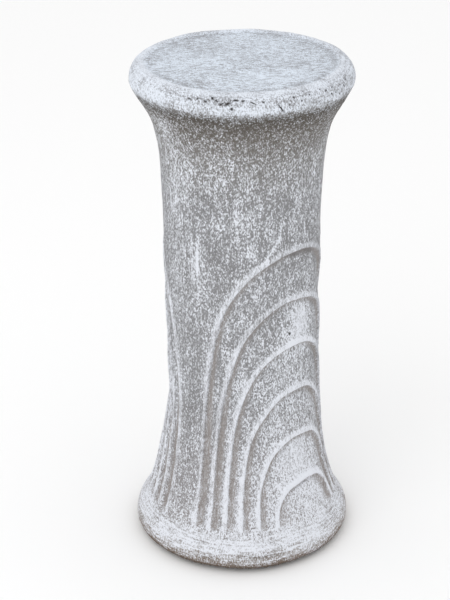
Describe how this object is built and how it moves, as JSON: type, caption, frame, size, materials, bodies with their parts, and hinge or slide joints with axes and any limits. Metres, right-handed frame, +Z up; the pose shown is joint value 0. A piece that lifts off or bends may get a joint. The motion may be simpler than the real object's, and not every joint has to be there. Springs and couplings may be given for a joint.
{
  "type": "cast stone column",
  "caption": "Round garden column in cast stone, with a flared rounded lip, a rolled base and nested arches in relief on two sides.",
  "frame": {"origin": "middle of the underside, on the axis of the shaft", "axes": "+Z up the shaft; -Y faces the narrow plain strip between the two groups of arches, which mirror each other across the YZ plane"},
  "size_m": [0.243, 0.243, 0.55],
  "materials": {
    "cast_stone": "grey-brown cast stone, matt, dry-brushed with a thin white lime wash"
  },
  "bodies": {
    "root": {"column": "cast_stone"}
  },
  "joints": []
}
